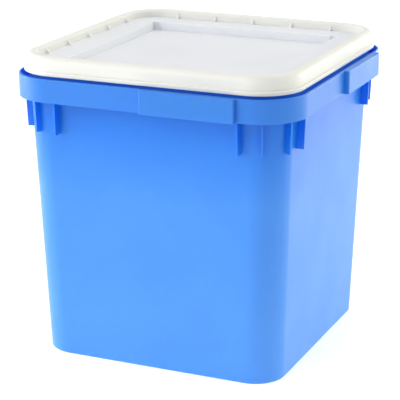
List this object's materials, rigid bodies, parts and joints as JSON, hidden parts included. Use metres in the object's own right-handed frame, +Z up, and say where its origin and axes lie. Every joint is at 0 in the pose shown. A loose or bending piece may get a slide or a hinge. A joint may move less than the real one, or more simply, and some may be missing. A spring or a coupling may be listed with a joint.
{
  "type": "square plastic pail with lid",
  "caption": "Square plastic pail with rounded corners, ribbed rim band with raised sections, and a shut press-on lid with a sunk top for stacking.",
  "frame": {"origin": "middle of the base, on the plane the pail stands on", "axes": "+Z up, -Y towards the front, +X to the right seen from the front"},
  "size_m": [0.323, 0.323, 0.323],
  "materials": {
    "pail_plastic": "moulded blue plastic with a satin gloss",
    "lid_plastic": "moulded white plastic with a satin gloss"
  },
  "bodies": {
    "root": {"pail": "pail_plastic", "lid": "lid_plastic"}
  },
  "joints": []
}
